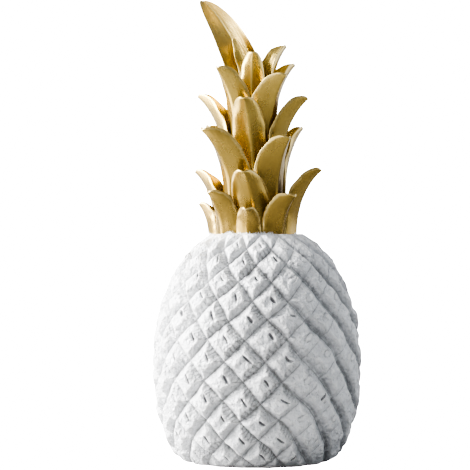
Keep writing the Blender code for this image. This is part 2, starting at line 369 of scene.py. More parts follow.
def eye_carving(across, up, azimuth, sizes):
    """Height of the carving in metres, and masks that place the tool's marks on each eye.

    An eye is the diamond round a whole number of one = across + up / 2 and other = across - up / 2. Its
    height is the lowest of a flat top and four sides that rise from the grooves, each over its own share of
    the eye. On the right two sides hardly rise, so that the eyes join into ridges, and a third starts beyond
    a flat channel. Beside the middle lies a cut where long_way^4 < 1, deepest where |short_way| < 0.5 and
    gone at 1.5, with a lip above it and, on the ridges, a round mound below it. Some eyes of the ridges have
    no cut: their presence is 0.
    """
    random = np.random.default_rng(sizes.seed)
    turns = 2 * sizes.eyes_round
    one = across + up / 2.0
    other = across - up / 2.0
    one_eye = np.round(one)
    other_eye = np.round(other)
    along_one = one - one_eye
    along_other = other - other_eye
    row = np.clip(one_eye - other_eye, 0, sizes.half_rows + 1).astype(int)
    column = np.mod(one_eye + other_eye, turns).astype(int)
    traits = random.uniform(-1.0, 1.0, (EYE_TRAITS, sizes.half_rows + 2, turns))
    own = [trait[row, column] for trait in traits]
    own_upper_left, own_lower_left, own_lower_right, own_lean, own_aside, own_above = own[:6]
    own_tilt_one, own_tilt_other, own_upper_right, own_length, own_bend, own_width, own_chance = own[6:]

    facing_right = smooth_share(*RIDGES_START, azimuth) * (1.0 - smooth_share(*RIDGES_END, azimuth))
    facing_left = smooth_share(*LEFT_START, -azimuth)

    upper_left = whole_cells(sizes.wide_side, WIDE_SIDE_SPREAD, own_upper_left)
    lower_left = whole_cells(sizes.under_side, WIDE_SIDE_SPREAD, own_lower_left)
    one_steep = whole_cells(sizes.steep_side, STEEP_SIDE_SPREAD, own_lower_right)
    other_steep = whole_cells(sizes.steep_side, STEEP_SIDE_SPREAD, own_upper_right)
    join = RIDGE_JOIN * facing_right
    channel = RIDGE_CHANNEL * facing_right
    rise = np.minimum.reduce([
        np.maximum(0.5 + along_one - channel, 0.0) / (lower_left - 0.5 * channel),
        (0.5 - along_one) / one_steep,
        join + (1.0 - join) * (0.5 + along_other) / upper_left,
        join + (1.0 - join) * (0.5 - along_other) / other_steep,
        np.ones_like(one),
    ])
    height = -sizes.groove_depth + (sizes.groove_depth + sizes.eye_rise) * rise
    share_in = 1.0 - 2.0 * np.maximum(np.abs(along_one), np.abs(along_other))
    height += TOP_TILT * (own_tilt_one * along_one + own_tilt_other * along_other) * share_in
    height -= GROOVE_LINE_DEPTH * np.clip(1.0 - share_in * CELLS_PER_HALF_EYE, 0.0, 1.0)

    # Place within an eye in metres, across and up from the middle of its cut, then turned to lie along it
    wide = EYE_WIDTH * (along_one + along_other) / 2.0 - varied(CUT_ASIDE, own_aside)
    tall = sizes.half_row_length * (along_one - along_other) - varied(CUT_ABOVE, own_above)
    tall = tall - CUT_ABOVE_LEFT * facing_left - CUT_ABOVE_RIGHT * facing_right
    lean = varied(CUT_LEAN, own_lean) + CUT_LEAN_LEFT * facing_left + CUT_LEAN_RIGHT * facing_right
    lean = np.radians(lean)
    long_way = (wide * np.cos(lean) + tall * np.sin(lean)) / varied(CUT_HALF_LENGTH, own_length)
    short_way = -wide * np.sin(lean) + tall * np.cos(lean)
    short_way = (short_way + CUT_BEND * long_way**2 * own_bend) / varied(CUT_HALF_WIDTH, own_width)
    within = np.clip(1.0 - long_way**4, 0.0, 1.0)
    presence = 1.0 - facing_right * smooth_share(*CUT_MISSING, own_chance)
    cut = within * np.clip(CUT_EDGE - np.abs(short_way), 0.0, 1.0)
    lip = within * np.exp(-((short_way - LIP_PLACE) ** 2))
    mound = np.exp(-(long_way**2 + ((short_way + MOUND_PLACE) / MOUND_SIZE) ** 2))
    height += LIP_HEIGHT * lip * (1.0 - LIP_LOST_ON_RIDGES * facing_right)
    height += MOUND_HEIGHT * mound * facing_right
    height -= sizes.slot_depth * cut * presence
    masks = {
        "cut_along": np.clip(long_way, -FAR_FROM_CUT, FAR_FROM_CUT),
        "cut_across": np.clip(short_way, -FAR_FROM_CUT, FAR_FROM_CUT),
        "inside_eye": share_in,
        "turned": facing_right,
        "presence": presence,
    }
    return height, masks


def body_surface(sizes):
    """Points of the carved body on a grid of rows up and columns round, with its masks.

    point = (reach sin a, -reach cos a, level), where reach and level are the outline pushed along its
    outward direction by the carving and soft lumps. The angle a grows with the column, with the twist of the
    rows, which goes with their height squared, and with a soft random wander. No point is below the foot.
    """
    columns = sizes.eyes_round * CELLS_PER_EYE
    rows = sizes.half_rows * CELLS_PER_HALF_EYE + 1
    up = np.arange(rows)[:, None] / CELLS_PER_HALF_EYE * np.ones((1, columns))
    across = np.arange(columns)[None, :] / CELLS_PER_EYE * np.ones((rows, 1))
    eye_angle = 2.0 * np.pi / sizes.eyes_round
    turn = TWIST_START + TWIST_TOP * (up / sizes.half_rows) ** 2
    plain_angle = (across + 0.5) * eye_angle + turn
    azimuth = np.mod(plain_angle + np.pi, 2.0 * np.pi) - np.pi
    carved, masks = eye_carving(across, up, azimuth, sizes)
    random = np.random.default_rng(sizes.seed + 1)
    lumps = rough_field(random, up.shape, *BROAD_LUMPS) + rough_field(random, up.shape, *FINE_LUMPS)
    fade = np.clip(up / FOOT_FADE_ROWS, 0.0, 1.0) * np.clip((TOP_FADE_END - up) / TOP_FADE_ROWS, 0.0, 1.0)
    carved = (carved + lumps) * fade
    wander_round = rough_field(random, up.shape, WANDER_SPREAD, WANDER_ROUND)
    wander_up = rough_field(random, up.shape, WANDER_SPREAD, WANDER_UP)
    angle = plain_angle + wander_round * fade * eye_angle
    off_the_ends = np.clip(up, 0.0, 1.0) * np.clip(sizes.half_rows - up, 0.0, 1.0)
    height, radius, out_radial, out_up = outline_at(up + wander_up * off_the_ends, sizes)
    reach = radius + carved * out_radial
    level = np.maximum(height + carved * out_up, 0.0)
    points = np.stack([reach * np.sin(angle), -reach * np.cos(angle), level], axis=2)
    below = blurred(carved, HOLLOW_BLUR, HOLLOW_BLUR) - carved
    above = carved - blurred(carved, RIDGE_BLUR, RIDGE_BLUR)
    masks["hollow"] = np.clip(below / MASK_HEIGHT - HOLLOW_START, 0.0, 1.0)
    masks["ridge"] = np.clip(above / MASK_HEIGHT, 0.0, 1.0)
    masks["carving"] = fade
    return points, masks


def body_lattice(faces, rows, columns):
    """Place of each face corner in the lattice of eyes as (one, other), counted on past the back seam."""
    last = rows * columns
    row = np.where(faces < last, faces // columns, 0)
    column = np.where(faces < last, faces % columns, 0)
    over_seam = (column.max(axis=1) - column.min(axis=1) > columns // 2)[:, None] & (column == 0)
    across = (column + columns * over_seam) / CELLS_PER_EYE
    up = row / CELLS_PER_HALF_EYE
    return np.stack([across + up / 2.0, across - up / 2.0], axis=2).reshape(-1, 2)


def body_faces(rows, columns):
    """Triangles of the grid, cut along the diagonal with the nearest groove, and a fan on each end."""
    row, column = np.meshgrid(np.arange(rows - 1), np.arange(columns), indexing="ij")
    beside = (column + 1) % columns
    a = row * columns + column
    b = row * columns + beside
    c = (row + 1) * columns + beside
    d = (row + 1) * columns + column
    up = (row + 0.5) / CELLS_PER_HALF_EYE
    across = (column + 0.5) / CELLS_PER_EYE
    one = across + up / 2.0
    other = across - up / 2.0
    rising = (np.abs(other - np.round(other)) > np.abs(one - np.round(one)))[..., None]
    first = np.where(rising, np.stack([a, b, c], 2), np.stack([a, b, d], 2))
    second = np.where(rising, np.stack([a, c, d], 2), np.stack([b, c, d], 2))
    ring = np.arange(columns)
    after = (ring + 1) % columns
    foot = rows * columns
    top = (rows - 1) * columns
    under = np.stack([after, ring, np.full(columns, foot)], axis=1)
    over = np.stack([top + ring, top + after, np.full(columns, foot + 1)], axis=1)
    return np.concatenate([first.reshape(-1, 3), second.reshape(-1, 3), under, over])


def rim_waves(share, waves, phases):
    """Waves along one rim: sin(slow t) + 0.7 sin(quick t), each with its own phase."""
    slow, quick = waves
    return np.sin(share * slow + phases[0]) + QUICK_WAVE_HEIGHT * np.sin(share * quick + phases[1])


def leaf_surface(leaf, sizes, random):
    """Points of one blade as closed rings along its midrib, with its place on the blade and its masks.

    The midrib's radius grows with share ^ curl, its height with 1 - (1 - share) ^ rise and its sideways lean
    with share ^ 2. Across the blade the back lies inwards by cup * width * (0.65 |s| + 0.35 |s| ^ 2.2), and
    at its edges further by a rounding of 1 - sqrt(1 - |s| ^ 6). The face lies in front of the back by
    thickness * sqrt(1 - |s| ^ 10), so the two meet in a round rim. A crease of exp(-(s / 0.1) ^ 2) runs down
    the middle, and waves times |s| ^ 4 move the rims.
    """
    azimuth, root, tip, root_radius, reach, half_width, lean = leaf
    share = (1.0 - (1.0 - np.linspace(0.0, 1.0, LEAF_STATIONS)) ** LEAF_STATION_CROWDING)[:, None]
    turn = math.radians(azimuth)
    outward = np.array([math.sin(turn), -math.cos(turn), 0.0])
    sideways = np.array([math.cos(turn), math.sin(turn), 0.0])
    upward = np.array([0.0, 0.0, 1.0])
    radius = (root_radius + (reach - root_radius) * share**sizes.curl) / 1000.0
    level = (root + (tip - root) * (1.0 - (1.0 - share) ** sizes.rise)) / 1000.0
    shift = lean / 1000.0 * share**2
    middle = np.array([CROWN_OFFSET, 0.0, 0.0]) + outward * radius + sideways * shift + upward * level
    outwards = sizes.curl * (reach - root_radius) * share ** (sizes.curl - 1.0)
    upwards = sizes.rise * (tip - root) * np.maximum(1.0 - share, 0.02) ** (sizes.rise - 1.0)
    bend = np.arctan2(outwards, upwards)
    back = outward * np.cos(bend) - upward * np.sin(bend)

    opened = np.clip((1.0 - share) / LEAF_TAPER_SHARE, 0.0, 1.0) ** LEAF_TAPER
    width = LEAF_TIP_HALF_WIDTH + (half_width / 1000.0 - LEAF_TIP_HALF_WIDTH) * np.sin(np.pi / 2.0 * opened)
    cup = LEAF_CUP_ROOT + (LEAF_CUP_TIP - LEAF_CUP_ROOT) * share
    thickness = sizes.leaf_thickness * (1.0 - LEAF_THINNING * share)
    thickness = thickness + LEAF_ROOT_FILL * np.clip(1.0 - 2.0 * share, 0.0, 1.0)

    back_line = np.sin(np.linspace(-np.pi / 2.0, np.pi / 2.0, LEAF_STEPS + 1))
    side = np.concatenate([back_line, back_line[-2:0:-1]])[None, :]
    on_face = np.concatenate([np.zeros(LEAF_STEPS + 1), np.ones(LEAF_STEPS - 1)])[None, :]
    size = np.abs(side)
    cupped = LEAF_CUP_STRAIGHT * size + (1.0 - LEAF_CUP_STRAIGHT) * size**LEAF_CUP_POWER
    rounding = LEAF_ROUNDING * np.clip(width / LEAF_ROUNDING_WIDTH, 0.0, 1.0)
    depth = cup * width * cupped + rounding * (1.0 - np.sqrt(1.0 - np.minimum(size, 0.999) ** 6))
    depth = depth + thickness * on_face * np.sqrt(1.0 - size**10)
    depth = depth - sizes.midrib_depth * np.exp(-((side / LEAF_CREASE_SHARE) ** 2)) * (1.0 - share**3)
    phases = random.uniform(0.0, 2.0 * np.pi, 4)
    right_waves = rim_waves(share, RIGHT_RIM_WAVES, phases[:2])
    left_waves = rim_waves(share, LEFT_RIM_WAVES, phases[2:])
    wave = np.where(side > 0, right_waves, left_waves) * size**4
    depth = depth + sizes.rim_wave * wave * np.clip(width / WAVE_WIDTH, 0.0, 1.0)
    across = side * width
    points = middle[:, None, :] + sideways * across[:, :, None] - back[:, None, :] * depth[:, :, None]
    length = np.concatenate([[0.0], np.cumsum(np.linalg.norm(np.diff(middle, axis=0), axis=1))])[:, None]
    place = np.stack([across, length * np.ones_like(side)], axis=2)
    masks = {
        "rim": np.clip(1.0 - (1.0 - size) * width / LEAF_RIM, 0.0, 1.0),
        "along": share * np.ones_like(side),
    }
    return points, place, masks


def core_surface():
    """Points of the column in closed rings: its radius falls from base to top with share ^ 0.8."""
    share = np.linspace(0.0, 1.0, CORE_RINGS)[:, None]
    angle = np.linspace(0.0, 2.0 * np.pi, CORE_SIDES, endpoint=False)[None, :]
    radius = CORE_BASE_RADIUS + (CORE_TOP_RADIUS - CORE_BASE_RADIUS) * share**CORE_TAPER
    level = (CORE_BASE_HEIGHT + (CORE_TOP_HEIGHT - CORE_BASE_HEIGHT) * share) * np.ones_like(angle)
    points = np.stack([CROWN_OFFSET + radius * np.sin(angle), -radius * np.cos(angle), level], axis=2)
    place = np.stack([angle * radius, level], axis=2)
    return points, place, {"rim": np.zeros_like(level), "along": np.zeros_like(level)}


def ring_faces(rings, sides, start):
    """Triangles between closed rings of points, and a fan on the first and last ring."""
    ring, side = np.meshgrid(np.arange(rings - 1), np.arange(sides), indexing="ij")
    low = start + ring * sides
    high = low + sides
    beside = (side + 1) % sides
    first = np.stack([low + side, low + beside, high + beside], axis=2).reshape(-1, 3)
    second = np.stack([low + side, high + beside, high + side], axis=2).reshape(-1, 3)
    around = np.arange(1, sides - 1)
    base = np.full(sides - 2, start)
    last = base + (rings - 1) * sides
    under = np.stack([base, base + around + 1, base + around], axis=1)
    over = np.stack([last, last + around, last + around + 1], axis=1)
    return np.concatenate([first, second, under, over])


def mesh_object(name, points, faces, place, masks, material):
    """A smooth mesh, with its corners' places on the surface as a UV map and its masks as attributes."""
    mesh = bpy.data.meshes.new(name)
    mesh.vertices.add(len(points))
    mesh.vertices.foreach_set("co", np.ascontiguousarray(points, np.float32).ravel())
    mesh.loops.add(len(faces) * 3)
    mesh.polygons.add(len(faces))
    corners = np.ascontiguousarray(faces, np.int32).ravel()
    mesh.loops.foreach_set("vertex_index", corners)
    mesh.polygons.foreach_set("loop_start", np.arange(0, len(corners), 3, dtype=np.int32))
    mesh.update(calc_edges=True)
    mesh.validate()
    mesh.shade_smooth()
    layer = mesh.uv_layers.new(name="surface_place")
    layer.data.foreach_set("uv", np.ascontiguousarray(place, np.float32).ravel())
    for mask, values in masks.items():
        stored = mesh.attributes.new(mask, "FLOAT", "POINT")
        stored.data.foreach_set("value", np.ascontiguousarray(values, np.float32).ravel())
    mesh.materials.append(material)
    made = bpy.data.objects.new(name, mesh)
    bpy.context.scene.collection.objects.link(made)
    return made


class Nodes:
    """Adds nodes to a tree. Methods take numbers, colours or other nodes' outputs, and return outputs."""

    def __init__(self, tree):
        self.tree = tree
        self.count = 0

    def add(self, kind, **settings):
        """A node with those settings, in the next free spot of the rows of nodes left of the shader."""
        made = self.tree.nodes.new(kind)
        row, column = divmod(self.count, NODES_PER_ROW)
        made.location = (NODE_SPACING * (column - NODES_PER_ROW), -NODE_SPACING * row)
        self.count += 1
        for name, value in settings.items():
            setattr(made, name, value)
        return made

    def feed(self, socket, value):
        if isinstance(value, bpy.types.NodeSocket):
            self.tree.links.new(value, socket)
        elif socket.type == "RGBA":
            socket.default_value = (*value, 1.0)
        else:
            socket.default_value = value

    def feed_all(self, made, **values):
        """Feeds a node's inputs, each named in small letters with _ for a space."""
        for name, value in values.items():
            self.feed(made.inputs[name.replace("_", " ").title()], value)

    def maths(self, operation, *values, clamp=False):
        made = self.add("ShaderNodeMath", operation=operation, use_clamp=clamp)
        for socket, value in zip(made.inputs, values):
            self.feed(socket, value)
        return made.outputs["Value"]

    def plus(self, first, second, clamp=False):
        return self.maths("ADD", first, second, clamp=clamp)

    def minus(self, first, second):
        return self.maths("SUBTRACT", first, second)

    def times(self, first, *others, clamp=False):
        for other in others:
            first = self.maths("MULTIPLY", first, other, clamp=clamp)
        return first

    def times_plus(self, first, second, added):
        return self.maths("MULTIPLY_ADD", first, second, added)

    def ranged(self, value, given, wanted=(0.0, 1.0)):
        """The value moved from the given range to the wanted one, and held at its ends."""
        made = self.add("ShaderNodeMapRange")
        self.feed_all(made, value=value, from_min=given[0], from_max=given[1])
        self.feed_all(made, to_min=wanted[0], to_max=wanted[1])
        return made.outputs["Result"]

    def noise(self, place, scale, detail=2.0, roughness=0.5):
        made = self.add("ShaderNodeTexNoise")
        self.feed_all(made, vector=place, scale=scale, detail=detail, roughness=roughness)
        return made.outputs["Fac"]

    def mixed(self, amount, first, second):
        """The first colour turning into the second with the amount."""
        made = self.add("ShaderNodeMix", data_type="RGBA")
        colours = [socket for socket in made.inputs if socket.type == "RGBA"]
        self.feed(made.inputs[0], amount)
        self.feed(colours[0], first)
        self.feed(colours[1], second)
        return [socket for socket in made.outputs if socket.type == "RGBA"][0]

    def layered(self, colour, *layers):
        """The colour under layers of paint or dirt, each a mask and a colour, in the order of painting."""
        for amount, paint in layers:
            colour = self.mixed(amount, colour, paint)
        return colour

    def parts(self, vector):
        made = self.add("ShaderNodeSeparateXYZ")
        self.feed(made.inputs["Vector"], vector)
        return made.outputs["X"], made.outputs["Y"], made.outputs["Z"]

    def mask(self, name):
        return self.add("ShaderNodeAttribute", attribute_name=name).outputs["Fac"]

    def bump(self, height, distance, strength):
        made = self.add("ShaderNodeBump")
        self.feed_all(made, height=height, distance=distance, strength=strength)
        return made.outputs["Normal"]

    def group(self, group, **values):
        made = self.add("ShaderNodeGroup", node_tree=group)
        self.feed_all(made, **values)
        return made.outputs


def new_group(name, inputs, fill):
    """The shader node group of that name, made once. fill(nodes, given) returns what its outputs give.

    The inputs' defaults are numbers, or None for a vector.
    """
    tree = bpy.data.node_groups.get(name)
    if tree:
        return tree
    tree = bpy.data.node_groups.new(name, "ShaderNodeTree")
    for label, default in inputs.items():
        kind = "NodeSocketVector" if default is None else "NodeSocketFloat"
        socket = tree.interface.new_socket(name=label, in_out="INPUT", socket_type=kind)
        if default is not None:
            socket.default_value = default
    nodes = Nodes(tree)
    results = fill(nodes, nodes.add("NodeGroupInput").outputs)
    for label in results:
        tree.interface.new_socket(name=label, in_out="OUTPUT", socket_type="NodeSocketFloat")
    out = nodes.add("NodeGroupOutput")
    for label, result in results.items():
        nodes.feed(out.inputs[label], result)
    return tree


def mottling_group():
    """Paint that varies in broad patches and in a fine grain, with the height of both."""

    def fill(nodes, given):
        patches = nodes.noise(given["Place"], given["Patch Scale"], detail=4.0, roughness=0.6)
        grain = nodes.noise(given["Place"], given["Grain Scale"], detail=3.0)
        height = nodes.times_plus(grain, 0.35, patches)
        return {"Patches": nodes.ranged(patches, (0.35, 0.68)), "Grain": grain, "Height": height}

    return new_group("paint_mottling", {"Place": None, "Patch Scale": 60.0, "Grain Scale": 900.0}, fill)


def hollow_shade_group():
    """Painted shade in the hollows: the hollow mask times the amount, broken up by noise."""

    def fill(nodes, given):
        broken = nodes.ranged(nodes.noise(given["Place"], 260.0, detail=3.0), (0.25, 0.65), (0.45, 1.0))
        return {"Mask": nodes.times(broken, given["Hollow"], given["Amount"], clamp=True)}

    return new_group("settled_grime", {"Place": None, "Hollow": 0.0, "Amount": 0.6}, fill)


def edge_lightening_group():
    """How much a raised edge is lightened, as a painted highlight and, on the gold rims, wear: the edge mask
    against noise, times the amount.
    """

    def fill(nodes, given):
        exposed = nodes.plus(nodes.noise(given["Place"], 420.0, detail=4.0), given["Edge"])
        return {"Mask": nodes.times(nodes.ranged(exposed, (0.85, 1.25)), given["Amount"], clamp=True)}

    return new_group("edge_wear", {"Place": None, "Edge": 0.0, "Amount": 0.7}, fill)


# Inputs of the tool marks that come from the body's masks
EYE_MASKS = ("cut_along", "cut_across", "inside_eye", "turned", "presence")

# Tool marks: bars along each steep side and the painted shade of a side between them, which weakens towards
# the lit left edge, then depths in millimetres
UPPER_BARS = 7.0
LOWER_BARS = 5.0
SIDE_SHADE = 0.45
LEFT_EDGE_FADE = (-0.042, -0.018)
LEFT_EDGE_SHADE = 0.3
RING_RADIUS = 2.1
RING_ALONG = 2.3
RING_ACROSS = 0.66
RING_SHADE = 0.5
BAR_DEPTH = 0.30
RING_DEPTH = 0.65
VEIN_HEIGHT = 0.28

# White paint: how strongly the painted shade of each mark shows, and the relief of its surface in
# millimetres
BAR_SHADE_STRENGTH = 0.62
CHANNEL_SHADE_STRENGTH = 0.34
CUT_SHADE_STRENGTH = 0.82
CHISEL_RELIEF = 2.2
MOTTLING_RELIEF = 0.7

# Gold paint: heights between which the low leaves get painted shade and the top leaf a painted highlight,
# and its lower edge
LOW_LEAF_SHADE = (0.124, 0.185)
TOP_LEAF_HIGHLIGHT = (0.192, 0.210)
PAINT_EDGE = (0.1152, 0.1158)
EDGE_WANDER = 0.010
EDGE_GRAIN = 0.003
STREAK_SCALE = (900.0, 45.0, 1.0)


def tool_marks_group(sizes):
    """Marks of the carving tool on the eyes, from each place's (one, other) in the lattice.

    The two steep sides get painted shade, weaker towards the lit left edge, and in most eyes darker bars lie
    across them: a sine of the place along the side. The ring lies at a fixed distance from the mound beside
    the cut, broken up by noise, and is sunk and darkened with painted shade; a vein is where noise crosses
    its middle. Both are only where the eyes join, as is the painted shade of the channel between the ridges.
    The cut's mask places painted shade in the cut. Height is in millimetres.
    """

    def fill(nodes, given):
        maths, plus, minus, times = nodes.maths, nodes.plus, nodes.minus, nodes.times
        times_plus, ranged = nodes.times_plus, nodes.ranged
        turned = given["Turned"]
        one, other, _ = nodes.parts(given["Lattice"])
        one_eye = maths("ROUND", one)
        other_eye = maths("ROUND", other)
        along_one = minus(one, one_eye)
        along_other = minus(other, other_eye)
        which = nodes.add("ShaderNodeCombineXYZ")
        turns = 2.0 * sizes.eyes_round
        column = maths("FLOORED_MODULO", plus(one_eye, other_eye), turns)
        nodes.feed_all(which, x=minus(one_eye, other_eye), y=column)
        chance = nodes.add("ShaderNodeTexWhiteNoise")
        nodes.feed_all(chance, vector=which.outputs["Vector"])
        split = nodes.add("ShaderNodeSeparateColor")
        nodes.feed_all(split, color=chance.outputs["Color"])
        red, green, blue = (split.outputs[name] for name in ("Red", "Green", "Blue"))

        noise = nodes.noise(given["Place"], 330.0)
        uneven = times(minus(noise, 0.5), 1.6)
        upper = maths("DIVIDE", minus(0.5, along_one), sizes.steep_side)
        lower = maths("DIVIDE", minus(0.5, along_other), sizes.steep_side)
        far_upper = maths("DIVIDE", plus(0.5, along_one), sizes.wide_side)
        far_lower = maths("DIVIDE", plus(0.5, along_other), sizes.wide_side)

        def bars(near, beside, across_side, run, count, phase, chance_of_bars, limit):
            """Painted shade and bars of the side that is near, where it is lower than the two sides next to
            it.
            """
            lead = minus(maths("MINIMUM", beside, across_side), near)
            on_side = ranged(lead, (-0.15, 0.0))
            below_top = ranged(near, (0.85, 1.25), (1.0, 0.0))
            steps = plus(times_plus(run, count, phase), uneven)
            wave = maths("SINE", times(steps, 2.0 * math.pi))
            here = ranged(chance_of_bars, (limit, limit + 0.2))
            struck = times(ranged(wave, (-0.15, 0.45)), here)
            return times(on_side, below_top, maths("MAXIMUM", struck, SIDE_SHADE))

        first = bars(upper, lower, far_lower, along_other, UPPER_BARS, red, green, 0.10)
        second = bars(lower, upper, far_upper, along_one, LOWER_BARS, blue, red, 0.25)
        # The painted shade on the sides is weaker towards the lit left edge
        left_edge = ranged(nodes.parts(given["Place"])[0], LEFT_EDGE_FADE, (LEFT_EDGE_SHADE, 1.0))
        both = times(plus(first, second), minus(1.0, turned), left_edge)

        inside = ranged(given["Inside Eye"], (0.07, 0.13))
        bent = maths("POWER", maths("ABSOLUTE", given["Cut Along"]), 4.0)
        apart = times_plus(bent, 0.6, maths("ABSOLUTE", given["Cut Across"]))
        ragged = times_plus(uneven, 0.35, apart)
        cut = times(ranged(ragged, (0.8, 1.2), (1.0, 0.0)), inside)

        from_mound = times(plus(given["Cut Across"], MOUND_PLACE), RING_ACROSS)
        along_mound = times(given["Cut Along"], RING_ALONG)
        squares = plus(maths("POWER", from_mound, 2.0), maths("POWER", along_mound, 2.0))
        off_ring = maths("ABSOLUTE", minus(maths("SQRT", squares), RING_RADIUS))
        broken = ranged(noise, (0.42, 0.58))
        ring = times(ranged(off_ring, (0.1, 0.5), (1.0, 0.0)), inside, broken, turned)
        off_vein = maths("ABSOLUTE", minus(nodes.noise(given["Place"], 190.0, detail=1.0), 0.5))
        vein = times(ranged(off_vein, (0.0, 0.03), (1.0, 0.0)), turned)
        under = times_plus(uneven, 0.06, plus(0.5, along_one))
        sunk = plus(times(both, BAR_DEPTH), times(ring, RING_DEPTH))
        return {
            "Bars": plus(both, times(ring, RING_SHADE), clamp=True),
            "Channel": times(ranged(under, (0.24, 0.36), (1.0, 0.0)), turned),
            "Cut": times(cut, given["Presence"]),
            "Height": minus(times(vein, VEIN_HEIGHT), sunk),
        }

    inputs = {"Place": None, "Lattice": None, "Cut Along": FAR_FROM_CUT, "Cut Across": FAR_FROM_CUT}
    return new_group("tool_marks", {**inputs, "Inside Eye": 0.0, "Turned": 0.0, "Presence": 1.0}, fill)


def new_material(name):
    """A material with its nodes, shader, and outputs for object coordinates and the piece's own UV map."""
    material = bpy.data.materials.new(name)
    material.use_nodes = True
    shader = material.node_tree.nodes["Principled BSDF"]
    nodes = Nodes(material.node_tree)
    coordinates = nodes.add("ShaderNodeTexCoord")
    return material, nodes, shader, coordinates.outputs["Object"], coordinates.outputs["UV"]


def white_paint_material(colours, sizes):
    """Matt white paint: greyer in patches, with painted shade in grooves, cuts, channels and on the steep
    sides, and a painted highlight on ridges.
    """
    material, nodes, shader, place, lattice = new_material("white_paint_finish")
    mottling = nodes.group(mottling_group(), place=place, patch_scale=70.0, grain_scale=1500.0)
    painted_shade = nodes.group(hollow_shade_group(), place=place, hollow=nodes.mask("hollow"), amount=0.7)
    edge_lightening = nodes.group(edge_lightening_group(), place=place, edge=nodes.mask("ridge"), amount=0.6)
    eye_masks = {name: nodes.mask(name) for name in EYE_MASKS}
    marks = nodes.group(tool_marks_group(sizes), place=place, lattice=lattice, **eye_masks)
    carving = nodes.mask("carving")
    colour = nodes.layered(
        colours.white,
        (mottling["Patches"], colours.white_shade),
        # Painted highlight on the ridges
        (edge_lightening["Mask"], colours.ridge_highlight),
        # Painted shade in the hollows
        (painted_shade["Mask"], colours.painted_shade),
        # Painted shade on the steep sides, with bars and rings
        (nodes.times(marks["Bars"], BAR_SHADE_STRENGTH, carving), colours.painted_shade),
        # Painted shade in the channels on the right
        (nodes.times(marks["Channel"], CHANNEL_SHADE_STRENGTH, carving), colours.channel_shade),
        # Painted shade in the cuts
        (nodes.times(marks["Cut"], CUT_SHADE_STRENGTH, carving), colours.cut_shade),
    )
    relief = nodes.times(marks["Height"], carving)
    chiselled = nodes.times(nodes.noise(place, 560.0, detail=4.0), CHISEL_RELIEF)
    relief = nodes.times_plus(chiselled, carving, relief)
    relief = nodes.times_plus(mottling["Height"], MOTTLING_RELIEF, relief)
    roughness = nodes.ranged(mottling["Patches"], (0.0, 1.0), (0.28, 0.46))
    normal = nodes.bump(relief, distance=0.001, strength=1.0)
    nodes.feed_all(shader, base_color=colour, roughness=roughness, normal=normal)
    return material


def gold_paint_material(colours):
    """Satin gold paint: brushed along the leaves, with painted shade low down and at the roots, cream on the
    rims from wear and painted highlight, and a cream painted highlight on the top leaf.

    The white paint of the body reaches up over the foot of the crown to a ragged edge.
    """
    material, nodes, shader, place, blade = new_material("gold_paint_finish")
    mottling = nodes.group(mottling_group(), place=place, patch_scale=60.0, grain_scale=1400.0)
    stretched = nodes.add("ShaderNodeMapping")
    nodes.feed_all(stretched, vector=blade, scale=STREAK_SCALE)
    streaks = nodes.noise(stretched.outputs["Vector"], 1.0, detail=3.0)
    edge_lightening = nodes.group(edge_lightening_group(), place=place, edge=nodes.mask("rim"), amount=0.5)
    tint = nodes.noise(place, 55.0)
    height = nodes.parts(place)[2]
    # Cream on the top leaf is a painted highlight; on the rims it is wear and painted highlight
    rim_wear_and_highlight = nodes.maths("MAXIMUM", nodes.ranged(height, TOP_LEAF_HIGHLIGHT, (0.0, 0.5)), edge_lightening["Mask"])
    ragged = nodes.times_plus(tint, EDGE_WANDER, nodes.times_plus(mottling["Grain"], EDGE_GRAIN, height))
    splashed = nodes.ranged(ragged, PAINT_EDGE, (1.0, 0.0))
    colour = nodes.layered(
        colours.gold,
        (nodes.times(mottling["Patches"], 0.6), colours.gold_dark),
        (nodes.ranged(tint, (0.52, 0.68), (0.0, 0.6)), colours.olive),
        (nodes.ranged(streaks, (0.5, 0.75), (0.0, 0.3)), colours.gold_dark),
        # Painted shade at the leaf roots, then on the low leaves
        (nodes.ranged(nodes.mask("along"), (0.05, 0.75), (0.8, 0.0)), colours.gold_dark),
        (nodes.ranged(height, LOW_LEAF_SHADE, (1.0, 0.0)), colours.gold_dark),
        # Cream: wear on the rims, painted highlight on the rims and the top leaf
        (rim_wear_and_highlight, colours.cream),
        (splashed, colours.white),
    )
    less_gold = nodes.plus(nodes.times(rim_wear_and_highlight, 0.6), splashed, clamp=True)
    metallic = nodes.ranged(less_gold, (0.0, 1.0), (0.80, 0.10))
    roughness = nodes.ranged(mottling["Patches"], (0.0, 1.0), (0.22, 0.34))
    normal = nodes.bump(streaks, distance=0.0003, strength=0.5)
    nodes.feed_all(shader, base_color=colour, metallic=metallic, roughness=roughness, normal=normal)
    nodes.feed_all(shader, coat_weight=0.12, coat_roughness=0.2)
    return material


def sweep_material(colours):
    """Pale floor, lit from within where it rises into the backdrop, and white to the camera."""
    material, nodes, shader, place, _ = new_material("studio_sweep")
    floor = tuple(colours.floor)
    darker = tuple(value * 0.97 for value in floor)
    glow = nodes.ranged(nodes.parts(place)[1], (0.3, 1.3), (0.0, 0.5))
    seen = nodes.add("ShaderNodeLightPath").outputs["Is Camera Ray"]
    glow = nodes.maths("MAXIMUM", glow, nodes.times(seen, 10.0))
    colour = nodes.mixed(nodes.noise(place, 6.0), floor, darker)
    nodes.feed_all(shader, base_color=colour, roughness=0.7, emission_strength=glow)
    nodes.feed_all(shader, emission_color=(1.0, 1.0, 1.0))
    return material


def kept_as_casting(piece):
    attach(piece, "root")
    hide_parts("pineapple")


